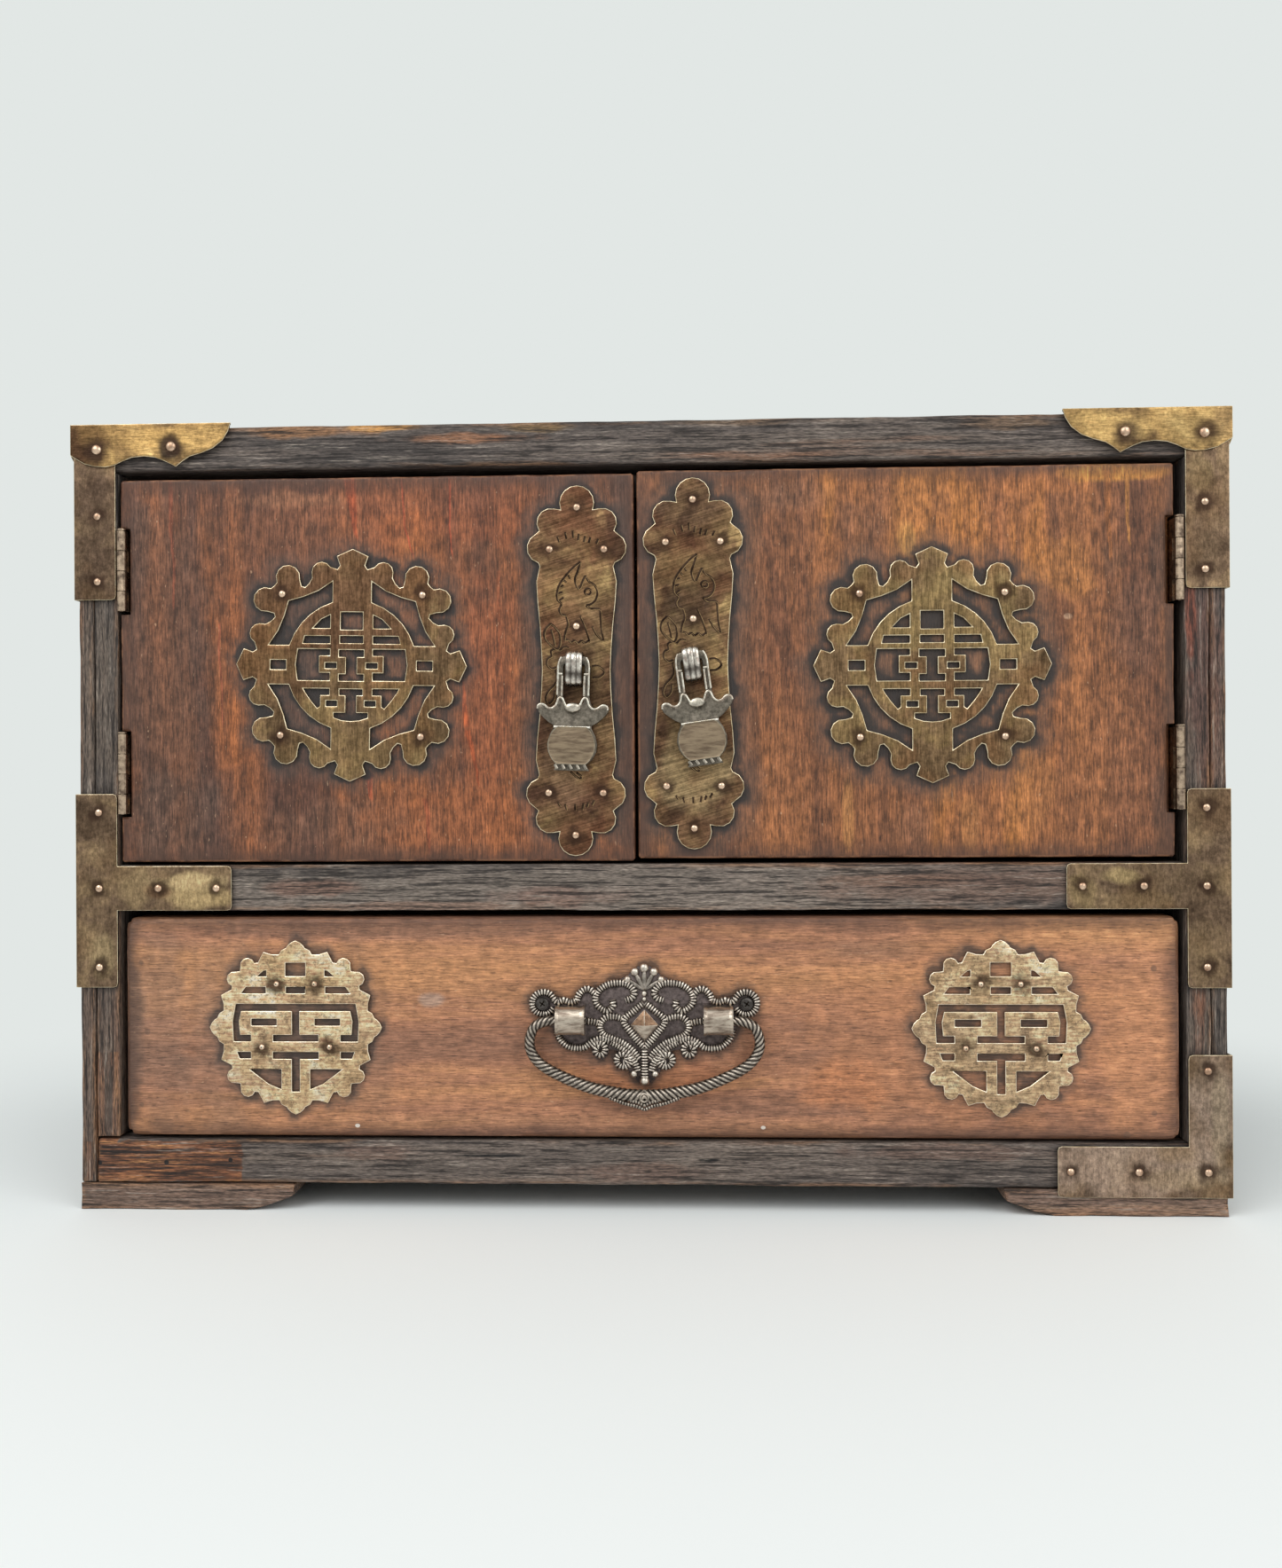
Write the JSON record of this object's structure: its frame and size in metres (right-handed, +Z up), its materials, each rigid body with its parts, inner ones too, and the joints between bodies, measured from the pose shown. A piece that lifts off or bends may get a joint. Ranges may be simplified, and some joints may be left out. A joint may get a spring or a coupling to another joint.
{
  "type": "tabletop chest",
  "caption": "Small wooden tabletop chest with hinged doors over a drawer, aged brass corner straps, fretwork medallions, drop pulls and a bail pull.",
  "frame": {"origin": "on the surface that the chest stands on, under the middle of its overall width and depth", "axes": "+X to the viewer's right along the front, +Y from the front to the back, +Z up"},
  "size_m": [0.3704, 0.1914, 0.2544],
  "materials": {
    "red_wood": "worn satin reddish stain with dark halos round the fittings",
    "dark_wood": "worn satin charcoal brown with bare orange edges",
    "raw_wood": "plain unfinished boards",
    "aged_brass": "dull aged sheet brass with bright worn edges",
    "pale_brass": "pale worn gilt brass",
    "grey_metal": "antique pewter coloured casting",
    "catch_plastic": "plain brown",
    "strike_steel": "plated"
  },
  "bodies": {
    "carcass": {"top_board": "dark_wood", "bottom_board": "dark_wood", "shelf_board": "dark_wood", "side_panel_left": "dark_wood", "side_panel_right": "dark_wood", "front_stile_left": "dark_wood", "front_stile_right": "dark_wood", "foot_front_left": "dark_wood", "foot_front_right": "dark_wood", "foot_back_left": "dark_wood", "foot_back_right": "dark_wood", "back_panel": "raw_wood", "drawer_guide_left": "raw_wood", "drawer_guide_right": "raw_wood", "magnet_catch": "catch_plastic", "corner_cap_left": "aged_brass", "corner_cap_right": "aged_brass", "strap_left": "aged_brass", "strap_right": "aged_brass", "tee_bracket_left": "aged_brass", "tee_bracket_right": "aged_brass", "elbow_bracket_right": "aged_brass", "hinge_left_upper_frame_leaf": "aged_brass", "hinge_left_lower_frame_leaf": "aged_brass", "hinge_left_upper_pin": "aged_brass", "hinge_left_lower_pin": "aged_brass", "hinge_right_upper_frame_leaf": "aged_brass", "hinge_right_lower_frame_leaf": "aged_brass", "hinge_right_upper_pin": "aged_brass", "hinge_right_lower_pin": "aged_brass"},
    "left_door": {"door_left": "red_wood", "medallion_door_left": "aged_brass", "pull_plate_left": "aged_brass", "pull_hook_left": "grey_metal", "strike_left": "strike_steel", "hinge_left_upper_door_leaf": "aged_brass", "hinge_left_lower_door_leaf": "aged_brass"},
    "right_door": {"door_right": "red_wood", "medallion_door_right": "aged_brass", "pull_plate_right": "aged_brass", "pull_hook_right": "grey_metal", "strike_right": "strike_steel", "hinge_right_upper_door_leaf": "aged_brass", "hinge_right_lower_door_leaf": "aged_brass"},
    "left_pull": {"drop_pull_left": "grey_metal"},
    "right_pull": {"drop_pull_right": "grey_metal"},
    "drawer": {"drawer_front": "red_wood", "drawer_side_left": "raw_wood", "drawer_side_right": "raw_wood", "drawer_back": "raw_wood", "drawer_bottom": "raw_wood", "medallion_drawer_left": "pale_brass", "medallion_drawer_right": "pale_brass", "pull_backplate": "grey_metal", "pull_screw_left": "grey_metal", "pull_screw_right": "grey_metal"},
    "bail": {"bail_handle": "grey_metal"}
  },
  "joints": [
    {"name": "left_door_hinge", "type": "hinge", "parent": "carcass", "child": "left_door", "pos_m": [-0.16825, -0.08935, 0.17525], "axis": [0, 0, -1], "range_deg": [0, 170]},
    {"name": "right_door_hinge", "type": "hinge", "parent": "carcass", "child": "right_door", "pos_m": [0.16825, -0.08935, 0.17525], "axis": [0, 0, 1], "range_deg": [0, 170]},
    {"name": "drawer_slide", "type": "slide", "parent": "carcass", "child": "drawer", "axis": [0, -1, 0], "range_m": [0, 0.15]},
    {"name": "bail_pivot", "type": "hinge", "parent": "drawer", "child": "bail", "pos_m": [0, -0.09235, 0.062], "axis": [-1, 0, 0], "range_deg": [0, 110]},
    {"name": "left_pull_pivot", "type": "hinge", "parent": "left_door", "child": "left_pull", "pos_m": [-0.02145, -0.09225, 0.17605], "axis": [-0.9995, 0, 0.0332], "range_deg": [0, 80]},
    {"name": "right_pull_pivot", "type": "hinge", "parent": "right_door", "child": "right_pull", "pos_m": [0.01525, -0.09225, 0.17725], "axis": [-0.9912, 0, -0.1323], "range_deg": [0, 80]}
  ]
}
